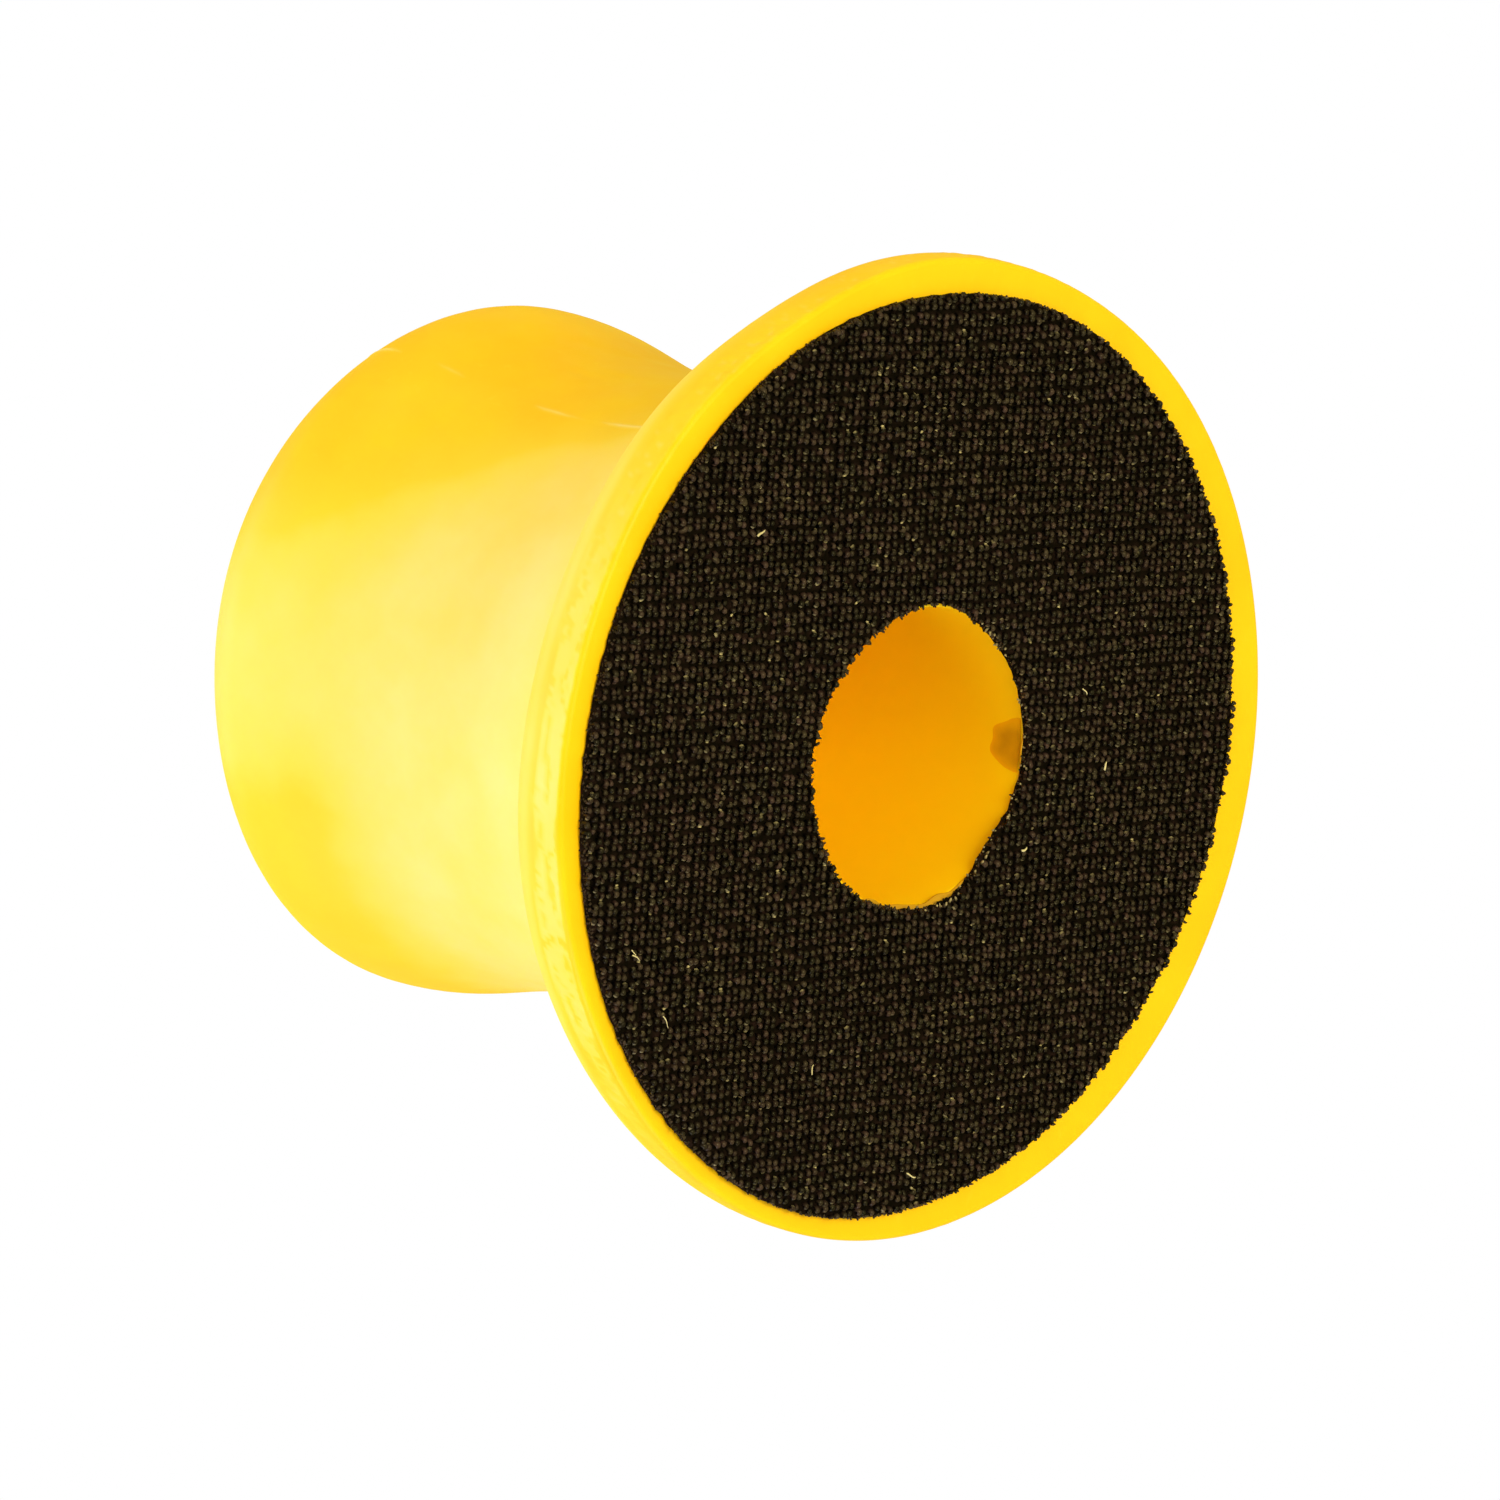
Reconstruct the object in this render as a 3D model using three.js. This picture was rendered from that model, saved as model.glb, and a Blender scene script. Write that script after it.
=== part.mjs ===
// A palm grip that holds a soft polishing pad: one moulded grip with a flange, and a woven hook
// ring glued on the flange's face. Millimetres, +Z up. The hook tips lie on z = 0, the grip's axis
// is the Z axis, and the palm end is at the top.
import * as THREE from "three";

// The layers glued on the grip's face, counted from the hook tips up.
const HOOK_HEIGHT = 0.7;
const GROUND_THICKNESS = 0.5;
const GLUE_THICKNESS = 0.15;

// The woven hook ring, and how far the glue film stays back from its cut edges.
const RING_OUTER_RADIUS = 37.3;
const RING_HOLE_RADIUS = 12.3;
const PILE_SETBACK = 0.3;
const GLUE_SETBACK = 0.4;

// The flange that backs the ring.
const FLANGE_MARGIN = 2.7;
const FLANGE_EDGE = 1.6;
const FRONT_ROUND = 0.5;

// The grip above the flange. Heights count from the flange's face.
const WAIST_RADIUS = 26.1;
const WAIST_HEIGHT = 29;
const KNOB_RADIUS = 29;
const KNOB_HEIGHT = 50.9;
const CROWN_RISE = 12.8;

// How far the grip's outline keeps its direction at the flange, the waist and the knob.
const FLARE_RUN = 11;
const WAIST_RUN_DOWN = 24;
const WAIST_RUN_UP = 12.4;
const KNOB_RUN_DOWN = 7.3;

// The blind bore behind the ring's hole.
const BORE_LIP = 0.1;
const BORE_DEPTH = 32;
const BORE_DRAFT = 0.35;
const BORE_MOUTH_ROUND = 0.25;
const BORE_END_ROUND = 3;

const TURN_STEPS = 72;
const CORNER_STEPS = 4;
const BEND_STEPS = 12;

const FACE_Z = HOOK_HEIGHT + GROUND_THICKNESS + GLUE_THICKNESS;
const FLANGE_RADIUS = RING_OUTER_RADIUS + FLANGE_MARGIN;
const BORE_RADIUS = RING_HOLE_RADIUS - BORE_LIP;

const moulding = new THREE.MeshStandardMaterial({
  color: 0xf6c400,
  roughness: 0.45,
  metalness: 0,
});
const wovenHook = new THREE.MeshStandardMaterial({
  color: 0x1a1613,
  roughness: 0.9,
  metalness: 0,
});
const driedGlue = new THREE.MeshStandardMaterial({
  color: 0x5a4f22,
  roughness: 0.35,
  metalness: 0,
});

// A mesh turned about the Z axis from an outline of radius and height.
function turned(name, outline, material) {
  const geometry = new THREE.LatheGeometry(outline, TURN_STEPS);
  geometry.rotateX(Math.PI / 2);
  const mesh = new THREE.Mesh(geometry, material);
  mesh.name = name;
  return mesh;
}

// A flat ring between two radii and two heights.
function flatRing(name, inner, outer, bottom, top, material) {
  const outline = [
    new THREE.Vector2(inner, bottom),
    new THREE.Vector2(outer, bottom),
    new THREE.Vector2(outer, top),
    new THREE.Vector2(inner, top),
    new THREE.Vector2(inner, bottom),
  ];
  return turned(name, outline, material);
}

// Points round a corner of the outline: an arc about a centre inside both of its walls.
function corner(centreRadius, centreZ, round, from, to) {
  const turnsBack = to < from;
  const arc = new THREE.EllipseCurve(centreRadius, centreZ, round, round, from, to, turnsBack);
  return arc.getPoints(CORNER_STEPS);
}

// Points along a smooth bend between two places, each left along its own direction.
function bend(start, startAlong, endAlong, end) {
  const curve = new THREE.CubicBezierCurve(start, startAlong, endAlong, end);
  return curve.getPoints(BEND_STEPS);
}

// The grip's outline, from the bore's end round the flange to the crown.
function gripOutline() {
  const boreEndRadius = BORE_RADIUS - BORE_DRAFT;
  const boreEndZ = FACE_Z + BORE_DEPTH;
  const boreCorner = boreEndRadius - BORE_END_ROUND;
  const mouthRadius = BORE_RADIUS + BORE_MOUTH_ROUND;
  const frontRadius = FLANGE_RADIUS - FRONT_ROUND;
  const waist = new THREE.Vector2(WAIST_RADIUS, FACE_Z + WAIST_HEIGHT);
  const knob = new THREE.Vector2(KNOB_RADIUS, FACE_Z + KNOB_HEIGHT);

  const halfTurn = Math.PI;
  const quarterTurn = Math.PI / 2;
  const flareStart = new THREE.Vector2(FLANGE_RADIUS, FACE_Z + FLANGE_EDGE);
  const flareAlong = new THREE.Vector2(flareStart.x, flareStart.y + FLARE_RUN);
  const waistBelow = new THREE.Vector2(waist.x, waist.y - WAIST_RUN_DOWN);
  const waistAbove = new THREE.Vector2(waist.x, waist.y + WAIST_RUN_UP);
  const knobBelow = new THREE.Vector2(knob.x, knob.y - KNOB_RUN_DOWN);
  const crown = new THREE.EllipseCurve(0, knob.y, knob.x, CROWN_RISE, 0, quarterTurn);

  return [
    new THREE.Vector2(0, boreEndZ),
    ...corner(boreCorner, boreEndZ - BORE_END_ROUND, BORE_END_ROUND, quarterTurn, 0),
    ...corner(
      mouthRadius,
      FACE_Z + BORE_MOUTH_ROUND,
      BORE_MOUTH_ROUND,
      halfTurn,
      halfTurn + quarterTurn,
    ),
    ...corner(frontRadius, FACE_Z + FRONT_ROUND, FRONT_ROUND, -quarterTurn, 0),
    ...bend(flareStart, flareAlong, waistBelow, waist),
    ...bend(waist, waistAbove, knobBelow, knob).slice(1),
    ...crown.getPoints(BEND_STEPS).slice(1, -1),
    new THREE.Vector2(0, knob.y + CROWN_RISE),
  ];
}

const groundBottom = HOOK_HEIGHT;
const glueBottom = HOOK_HEIGHT + GROUND_THICKNESS;

const holder = new THREE.Group();
holder.add(turned("grip_body", gripOutline(), moulding));
holder.add(
  flatRing(
    "glue_film",
    RING_HOLE_RADIUS + GLUE_SETBACK,
    RING_OUTER_RADIUS - GLUE_SETBACK,
    glueBottom,
    FACE_Z,
    driedGlue,
  ),
);
holder.add(
  flatRing(
    "hook_ground",
    RING_HOLE_RADIUS,
    RING_OUTER_RADIUS,
    groundBottom,
    glueBottom,
    wovenHook,
  ),
);
holder.add(
  flatRing(
    "hook_pile",
    RING_HOLE_RADIUS + PILE_SETBACK,
    RING_OUTER_RADIUS - PILE_SETBACK,
    0,
    groundBottom,
    wovenHook,
  ),
);

export default holder;
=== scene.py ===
"""A palm grip with a hook-faced flange that holds a soft polishing pad.

Metres, +Z up. The hook tips lie on z = 0 and the grip's axis is the Z axis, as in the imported
frame. Sizes of the moulding and of the fabric are named in millimetres and scaled by MM.
"""

import math

import bpy
import numpy as np
from mathutils import Matrix, Vector


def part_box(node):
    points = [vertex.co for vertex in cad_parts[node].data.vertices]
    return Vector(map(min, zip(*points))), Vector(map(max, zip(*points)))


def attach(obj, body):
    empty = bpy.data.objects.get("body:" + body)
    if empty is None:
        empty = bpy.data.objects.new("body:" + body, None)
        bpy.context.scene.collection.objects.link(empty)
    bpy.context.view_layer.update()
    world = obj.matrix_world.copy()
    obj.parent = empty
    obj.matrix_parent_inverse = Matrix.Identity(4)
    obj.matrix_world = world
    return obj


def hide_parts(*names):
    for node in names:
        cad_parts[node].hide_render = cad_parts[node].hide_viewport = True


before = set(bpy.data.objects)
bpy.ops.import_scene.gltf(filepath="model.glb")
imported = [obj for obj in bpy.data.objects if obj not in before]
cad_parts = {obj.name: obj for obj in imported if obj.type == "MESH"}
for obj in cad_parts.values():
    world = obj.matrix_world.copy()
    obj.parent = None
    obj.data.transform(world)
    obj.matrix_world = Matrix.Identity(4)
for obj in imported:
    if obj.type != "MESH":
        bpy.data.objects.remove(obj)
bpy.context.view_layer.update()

MM = 0.001
BODY = "root"

# What the frame says.
grip_low, grip_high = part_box("grip_body")
ground_low, ground_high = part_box("hook_ground")
FLANGE_RADIUS = grip_high.x / MM
CROWN_HEIGHT = (grip_high.z - grip_low.z) / MM
FACE_Z = grip_low.z / MM
RING_RADIUS = ground_high.x / MM
GROUND_TOP = ground_high.z / MM
GROUND_BOTTOM = ground_low.z / MM

# The moulding, in millimetres, with heights counted from the flange's face.
FLANGE_EDGE = 1.6
TRIM_HEIGHT = 3.2
FRONT_ROUND = 0.5
WAIST_RADIUS = 26.1
WAIST_HEIGHT = 29.0
KNOB_RADIUS = 29.0
KNOB_HEIGHT = 50.9
FLARE_RUN = 11.0
WAIST_RUN_DOWN = 24.0
WAIST_RUN_UP = 12.4
KNOB_RUN_DOWN = 7.3
RING_HOLE_RADIUS = 12.3
BORE_RADIUS = 12.2
BORE_DEPTH = 32.0
BORE_DRAFT = 0.35
BORE_MOUTH_ROUND = 0.25
BORE_END_ROUND = 3.0
TURN_STEPS = 680
KNOB_SWAY = 0.35
BORE_SWAY = np.array([-0.55, -0.7])

# The mould's parting line runs over the grip at this angle about the axis, and opposite it.
PARTING_ANGLE = math.radians(320)
FLASH_HEIGHT = 0.06
FLASH_HALF_WIDTH = 0.18

# The woven hook fabric, in millimetres. Weave directions are turned a little from the Y axis.
WEAVE_TURN = math.radians(12)
HOOK_PITCH_ALONG = 0.77
HOOK_PITCH_ACROSS = 0.65
PAIR_SHIFT = 0.045
FILAMENT_RADIUS = 0.15
FILAMENT_SPREAD = 1.7
HOOK_REACH = 0.35
HOOK_BEND_RADIUS = 0.14
HOOK_CREST = 0.34
HOOK_SIDES = 5
RING_SLIP = np.array([-0.5, -1.3])
CLIP_STEPS = 12
FIBRE_SIDES = 5
TUFT_STEPS = 4

# Soft swellings of the edges: the angle of each one's middle and its half width, in degrees, and
# its size in millimetres.
FLANGE_SWELLS = [(250, math.degrees(0.4), 0.45), (8, 20, -0.3), (321, 15, -0.7)]
HOLE_SWELLS = [(142, 17, 0.75), (116, 12, -0.25), (75, 14, 0.25), (30, 22, -0.3)]
RIM_SWELLS = [(15, 18, 0.3), (180, 18, 0.3), (112, 28, -0.3)]

# Small blemishes on the moulding: angle in degrees, height, radius and depth in millimetres.
PITS = [
    (300, 44.0, 0.55, 0.16),
    (290, 38.5, 0.4, 0.1),
    (334, 36.0, 0.7, 0.12),
    (338, 33.5, 0.5, 0.1),
    (312, 49.0, 0.45, 0.1),
    (262, 26.0, 0.4, 0.08),
    (226, 21.0, 0.5, 0.1),
    (240, 40.0, 0.35, 0.08),
    (205, 30.0, 0.5, 0.1),
    (60, 41.0, 0.5, 0.12),
    (95, 28.0, 0.4, 0.1),
    (150, 45.0, 0.6, 0.12),
]

# Bits caught in the hooks: place on the face, heading in degrees, length and radius, and curl.
CAUGHT_BITS = [
    (13.4, -25.8, 35, 0.9, 0.10, 0.15),
    (-20.4, -29.0, 115, 1.1, 0.06, 0.12),
    (-20.2, -29.2, 100, 0.6, 0.05, 0.2),
    (-24.8, -24.2, 120, 1.3, 0.05, 0.12),
    (-6.0, 12.6, 60, 0.6, 0.10, 0.15),
    (1.9, 20.2, 10, 0.7, 0.10, 0.1),
    (-33.6, 7.9, 80, 1.0, 0.08, 0.2),
    (8.0, 15.5, 140, 0.7, 0.06, 0.2),
    (-27.0, -6.0, 20, 0.8, 0.06, 0.2),
]

# Colours of the lamps that aren't white, and of the even light all round.
WARM_LAMP = (1.0, 0.92, 0.62)
AMBER_LAMP = (1.0, 0.85, 0.4)
YELLOW_AIR = (1.0, 0.88, 0.30, 1)


# ---------------------------------------------------------------- mesh helpers


def make_object(name, points, faces, material):
    """A mesh object from points in millimetres and lists of faces, riding on the holder."""
    mesh = bpy.data.meshes.new(name)
    mesh.from_pydata((np.asarray(points) * MM).tolist(), [], faces)
    mesh.update()
    mesh.shade_smooth()
    mesh.materials.append(material)
    obj = bpy.data.objects.new(name, mesh)
    bpy.context.scene.collection.objects.link(obj)
    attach(obj, BODY)
    return obj


def grid_faces(rows, columns, wrap_columns, first=0, flip=False):
    """Quads of a grid of points numbered row by row, as an array of four corners each."""
    row = np.arange(rows - 1)[:, None]
    column = np.arange(columns if wrap_columns else columns - 1)[None, :]
    after = (column + 1) % columns
    quads = np.stack(
        [
            row * columns + column,
            row * columns + after,
            (row + 1) * columns + after,
            (row + 1) * columns + column,
        ],
        axis=-1,
    ).reshape(-1, 4)
    if flip:
        quads = quads[:, ::-1]
    return quads + first


def point_values(obj, name, values):
    """Stores one number for each vertex, for the material to read."""
    attribute = obj.data.attributes.new(name, "FLOAT", "POINT")
    attribute.data.foreach_set("value", np.asarray(values, np.float32).ravel())


def smooth_step(low, high, x):
    """0 below low, 1 above high, and an even S between them."""
    t = np.clip((x - low) / (high - low), 0, 1)
    return t * t * (3 - 2 * t)


def bulge(angle, middle, half_width, size):
    """A smooth swelling of a given size about one angle; middle and half_width in degrees."""
    away = np.degrees(np.angle(np.exp(1j * (angle - math.radians(middle)))))
    return size * np.exp(-((away / half_width) ** 2))


def swellings(angle, listed):
    """The sum of several bulges, each given as its middle, half width and size."""
    return sum(bulge(angle, middle, half_width, size) for middle, half_width, size in listed)


def ripple(angle, along, turns, waves, size, seed):
    """Smooth seamless noise: a sum of sines whose turns about the axis are whole numbers."""
    rng = np.random.default_rng(seed)
    total = np.zeros(np.broadcast(angle, along).shape)
    for _ in range(14):
        turn = rng.integers(turns[0], turns[1] + 1) * rng.choice([-1, 1])
        wave = rng.uniform(waves[0], waves[1])
        total += np.sin(turn * angle + wave * along + rng.uniform(0, 2 * math.pi))
    return total * size / math.sqrt(7)


# ---------------------------------------------------------------- materials


class Nodes:
    """A material's node tree, with short calls to add a node and link its inputs."""

    def __init__(self, name):
        self.material = bpy.data.materials.new(name)
        self.material.use_nodes = True
        self.tree = self.material.node_tree
        self.shader = self.tree.nodes["Principled BSDF"]

    def add(self, kind, inputs=None, **settings):
        node = self.tree.nodes.new(kind)
        for key, value in settings.items():
            setattr(node, key, value)
        for key, value in (inputs or {}).items():
            self.set(node.inputs[key], value)
        return node

    def set(self, socket, value):
        if isinstance(value, bpy.types.NodeSocket):
            self.tree.links.new(value, socket)
        else:
            socket.default_value = value

    def place(self):
        return self.add("ShaderNodeTexCoord").outputs["Object"]

    def noise(self, place, scale, detail=3.0, roughness=0.5):
        inputs = {"Vector": place, "Scale": scale, "Detail": detail, "Roughness": roughness}
        return self.add("ShaderNodeTexNoise", inputs).outputs["Fac"]

    def span(self, value, low, high, to_low=0.0, to_high=1.0):
        inputs = {
            "Value": value,
            "From Min": low,
            "From Max": high,
            "To Min": to_low,
            "To Max": to_high,
        }
        return self.add("ShaderNodeMapRange", inputs).outputs["Result"]

    def mix(self, factor, a, b):
        node = self.add("ShaderNodeMix", data_type="RGBA")
        self.set(node.inputs[0], factor)
        self.set(node.inputs[6], a)
        self.set(node.inputs[7], b)
        return node.outputs[2]

    def math(self, operation, a, b=0.0):
        node = self.add("ShaderNodeMath", operation=operation)
        self.set(node.inputs[0], a)
        self.set(node.inputs[1], b)
        return node.outputs[0]

    def value_of(self, name):
        return self.add("ShaderNodeAttribute", attribute_name=name).outputs["Fac"]

    def bump(self, height, distance, strength=1.0):
        inputs = {"Height": height, "Distance": distance, "Strength": strength}
        return self.add("ShaderNodeBump", inputs).outputs["Normal"]


def moulded_yellow():
    """Smooth satin skin: cloudy yellow, with its own tone in the bore.

    The stored haze and highlight make it paler in two steps, first to a clear yellow and then to
    cream: a little real haze, and mostly a painted highlight where the soft light fell. The bore's
    own tone is lighter and yellower, painted light for the light inside it. The stored wear makes
    the parting line and the chips on the trimmed edge paler still.
    """
    n = Nodes("moulded_yellow")
    place = n.place()
    clouds = n.span(n.noise(place, 110, 4), 0.35, 0.65)
    body = n.mix(clouds, (0.94, 0.555, 0.001, 1), (0.96, 0.61, 0.003, 1))
    flecks = n.span(n.noise(place, 900, 2), 0.62, 0.8, 0.0, 0.3)
    flecked = n.mix(flecks, body, (0.97, 0.66, 0.03, 1))
    # The bore is painted a lighter, yellower tone: painted light standing in for the light inside
    # the recess.
    flecked = n.mix(n.value_of("bore_mask_and_painted_light"), flecked, (0.995, 0.66, 0.002, 1))
    worn = n.value_of("worn")
    streaks = n.span(n.noise(place, 140, 4), 0.3, 0.7, 0.7, 1.0)
    # Painted highlight over a little real haze: the stored value turns the side that faced the soft
    # light pale cream.
    haze_and_painted_highlight = n.math("MULTIPLY", n.value_of("haze_and_painted_highlight"), streaks)
    hazed_and_highlit = n.mix(n.span(haze_and_painted_highlight, 0.0, 0.45), flecked, (0.965, 0.69, 0.05, 1))
    hazed_and_highlit = n.mix(n.span(haze_and_painted_highlight, 0.3, 1.0), hazed_and_highlit, (0.97, 0.76, 0.30, 1))
    colour = n.mix(worn, hazed_and_highlit, (0.97, 0.78, 0.34, 1))
    n.set(n.shader.inputs["Base Color"], colour)
    grain = n.noise(place, 1600, 2)
    skin = n.noise(place, 260, 3)
    rough = n.span(skin, 0.3, 0.7, 0.42, 0.54)
    n.set(n.shader.inputs["Roughness"], n.math("ADD", rough, n.math("MULTIPLY", worn, 0.12)))
    height = n.math("ADD", n.math("MULTIPLY", skin, 0.8), n.math("MULTIPLY", grain, 0.2))
    n.set(n.shader.inputs["Normal"], n.bump(height, 0.00006, 0.5))
    n.shader.inputs["Subsurface Weight"].default_value = 0.15
    n.shader.inputs["Subsurface Radius"].default_value = (1.0, 0.45, 0.05)
    n.shader.inputs["Subsurface Scale"].default_value = 0.002
    n.shader.inputs["Specular IOR Level"].default_value = 0.32
    return n.material


def black_filament():
    """Nylon monofilament: warm black, a little redder or greener from hook to hook.

    The cut end of a hook is paler, partly where the blade left it rough and partly as a painted
    glint on the tip.
    """
    n = Nodes("black_filament")
    tint = n.value_of("tint")
    deep = n.mix(tint, (0.004, 0.002, 0.0026, 1), (0.0035, 0.0025, 0.0022, 1))
    light = n.mix(tint, (0.046, 0.025, 0.034, 1), (0.037, 0.029, 0.025, 1))
    colour = n.mix(n.value_of("shade"), deep, light)
    # Pale tips: partly the rough cut end, partly a painted glint.
    colour = n.mix(n.value_of("cut"), colour, (0.50, 0.45, 0.36, 1))
    n.set(n.shader.inputs["Base Color"], colour)
    place = n.place()
    n.set(n.shader.inputs["Roughness"], n.span(n.noise(place, 2500, 2), 0.3, 0.7, 0.25, 0.45))
    n.shader.inputs["Specular IOR Level"].default_value = 0.2
    return n.material


def black_weave():
    """The woven ground under the hooks: matt black yarn."""
    n = Nodes("black_weave")
    place = n.place()
    fibre = n.noise(place, 6000, 2)
    patch = n.span(n.noise(place, 900, 2), 0.35, 0.65)
    yarn = n.mix(patch, (0.016, 0.0075, 0.011, 1), (0.023, 0.012, 0.015, 1))
    # The dips between the hook groups are painted almost black: painted shade where the hooks shade
    # the ground.
    lit = n.math("MULTIPLY", n.value_of("rib_and_dip_shade"), n.span(fibre, 0.35, 0.7, 0.4, 1.0))
    colour = n.mix(lit, (0.002, 0.0015, 0.001, 1), yarn)
    n.set(n.shader.inputs["Base Color"], colour)
    n.shader.inputs["Roughness"].default_value = 0.9
    n.shader.inputs["Specular IOR Level"].default_value = 0.06
    n.set(n.shader.inputs["Normal"], n.bump(fibre, 0.00005, 0.7))
    return n.material


def dried_glue():
    """Contact glue that dried dark and slightly glossy."""
    n = Nodes("dried_glue")
    place = n.place()
    cloud = n.noise(place, 500, 4)
    thick = n.mix(n.span(cloud, 0.3, 0.7), (0.24, 0.11, 0.006, 1), (0.46, 0.24, 0.006, 1))
    colour = n.mix(n.value_of("cover"), (0.90, 0.50, 0.004, 1), thick)
    n.set(n.shader.inputs["Base Color"], colour)
    n.shader.inputs["Roughness"].default_value = 0.3
    n.set(n.shader.inputs["Normal"], n.bump(cloud, 0.00008, 0.8))
    return n.material


def pale_lint():
    """Bits of pale fibre caught in the hooks."""
    n = Nodes("pale_lint")
    place = n.place()
    tone = n.mix(n.noise(place, 300, 1), (0.5, 0.45, 0.36, 1), (0.75, 0.7, 0.6, 1))
    n.set(n.shader.inputs["Base Color"], tone)
    n.shader.inputs["Roughness"].default_value = 0.8
    return n.material


# ---------------------------------------------------------------- the moulded grip


def arc(centre, radius, start, end, steps):
    """Points on a circle, as columns of radius and height."""
    angle = np.linspace(start, end, steps + 1)
    return np.stack(
        [centre[0] + radius * np.cos(angle), centre[1] + radius * np.sin(angle)], axis=1
    )


def bend(start, start_along, end_along, end, steps):
    """Points on a cubic curve from start to end that leaves each along its own direction."""
    t = np.linspace(0, 1, steps + 1)[:, None]
    return (
        (1 - t) ** 3 * np.array(start)
        + 3 * (1 - t) ** 2 * t * np.array(start_along)
        + 3 * (1 - t) * t**2 * np.array(end_along)
        + t**3 * np.array(end)
    )


def straight(start, end, steps):
    """Points on a straight stretch, without its ends."""
    t = np.linspace(0, 1, steps + 1)[1:-1, None]
    return (1 - t) * np.array(start) + t * np.array(end)


def grip_outline():
    """The grip's outline from the bore's end round the flange to the crown: radius and height."""
    quarter = math.pi / 2
    bore_end = BORE_RADIUS - BORE_DRAFT
    flare = np.array([FLANGE_RADIUS, FLANGE_EDGE])
    parts = [
        straight((0, BORE_DEPTH), (bore_end - BORE_END_ROUND, BORE_DEPTH), 4),
        arc(
            (bore_end - BORE_END_ROUND, BORE_DEPTH - BORE_END_ROUND),
            BORE_END_ROUND,
            quarter,
            0,
            8,
        ),
        straight(
            (bore_end, BORE_DEPTH - BORE_END_ROUND), (BORE_RADIUS, BORE_MOUTH_ROUND), 9
        ),
        arc(
            (BORE_RADIUS + BORE_MOUTH_ROUND, BORE_MOUTH_ROUND),
            BORE_MOUTH_ROUND,
            2 * quarter,
            3 * quarter,
            5,
        ),
        straight((BORE_RADIUS + BORE_MOUTH_ROUND, 0), (FLANGE_RADIUS - FRONT_ROUND, 0), 9),
        arc((FLANGE_RADIUS - FRONT_ROUND, FRONT_ROUND), FRONT_ROUND, -quarter, 0, 5),
        straight((FLANGE_RADIUS, FRONT_ROUND), (FLANGE_RADIUS, FLANGE_EDGE), 6),
        bend(
            flare,
            flare + (0, FLARE_RUN),
            (WAIST_RADIUS, WAIST_HEIGHT - WAIST_RUN_DOWN),
            (WAIST_RADIUS, WAIST_HEIGHT),
            52,
        ),
        bend(
            (WAIST_RADIUS, WAIST_HEIGHT),
            (WAIST_RADIUS, WAIST_HEIGHT + WAIST_RUN_UP),
            (KNOB_RADIUS, KNOB_HEIGHT - KNOB_RUN_DOWN),
            (KNOB_RADIUS, KNOB_HEIGHT),
            20,
        )[1:],
    ]
    turn = np.linspace(0, quarter, 30)[1:-1]
    crown_rise = CROWN_HEIGHT - KNOB_HEIGHT
    parts.append(
        np.stack(
            [KNOB_RADIUS * np.cos(turn), KNOB_HEIGHT + crown_rise * np.sin(turn)], axis=1
        )
    )
    return np.concatenate(parts)


def outline_lie(outline):
    """The outline's normal at each point, and each point's distance along it from the first."""
    step = np.gradient(outline, axis=0)
    step /= np.linalg.norm(step, axis=1, keepdims=True)
    normal = np.stack([step[:, 1], -step[:, 0]], axis=1)
    along = np.concatenate([[0], np.cumsum(np.linalg.norm(np.diff(outline, axis=0), axis=1))])
    return normal, along


def edge_band(angle, radius, height):
    """1 on the flange's trimmed edge and 0 off it, with a wavy border on the palm side."""
    trim_top = TRIM_HEIGHT + ripple(angle, 0 * height, (3, 40), (0, 1), 0.25, 15)
    corner = 0.3 + bulge(angle, 205, 35, 0.7)
    on_edge = smooth_step(-0.2, 0.2, height - corner)
    on_edge = on_edge * (1 - smooth_step(-0.35, 0.35, height - trim_top))
    return on_edge * smooth_step(FLANGE_RADIUS - 3.0, FLANGE_RADIUS - 1.0, radius)


def edge_marks(angle, along, on_edge):
    """The trimmed edge's relief, which is a knife's chatter less small chips, and the chips."""
    knife = ripple(angle, along, (60, 190), (0.5, 4.0), 0.02, 11)
    chips = np.clip(ripple(angle, along, (90, 200), (0.5, 5.0), 0.05, 12) - 0.05, 0, 1)
    patchy = smooth_step(-0.4, 0.9, ripple(angle, along, (2, 9), (0, 0.2), 1.0, 13))
    return (knife - chips) * on_edge * (0.35 + 0.65 * patchy), chips


def parting_line(angle, radius, height, outer):
    """The mould's parting line: a narrow bell shape at two opposite angles, and its breaks.

    The breaks are the sum of two slow sines of the height.
    """
    away = np.minimum(
        abs(np.angle(np.exp(1j * (angle - PARTING_ANGLE)))),
        abs(np.angle(np.exp(1j * (angle - PARTING_ANGLE - math.pi)))),
    )
    line = np.exp(-((away * np.maximum(radius, 1) / FLASH_HALF_WIDTH) ** 2))
    broken = smooth_step(0.0, 1.3, np.sin(0.61 * height) + np.sin(0.23 * height + 1.9))
    return line * outer * smooth_step(4, 5, height), broken


def pit_depths(angle, radius, height, inside):
    """The depth of the small pits: a bell shape about each one, on the outside only."""
    depths = np.zeros(np.broadcast(angle, height).shape)
    for pit_angle, pit_height, pit_radius, depth in PITS:
        across = np.angle(np.exp(1j * (angle - math.radians(pit_angle)))) * radius
        gap = np.hypot(across, height - pit_height) / pit_radius
        depths += depth * np.exp(-(gap**2)) * np.where(inside, 0.0, 1.0)
    return depths


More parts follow.
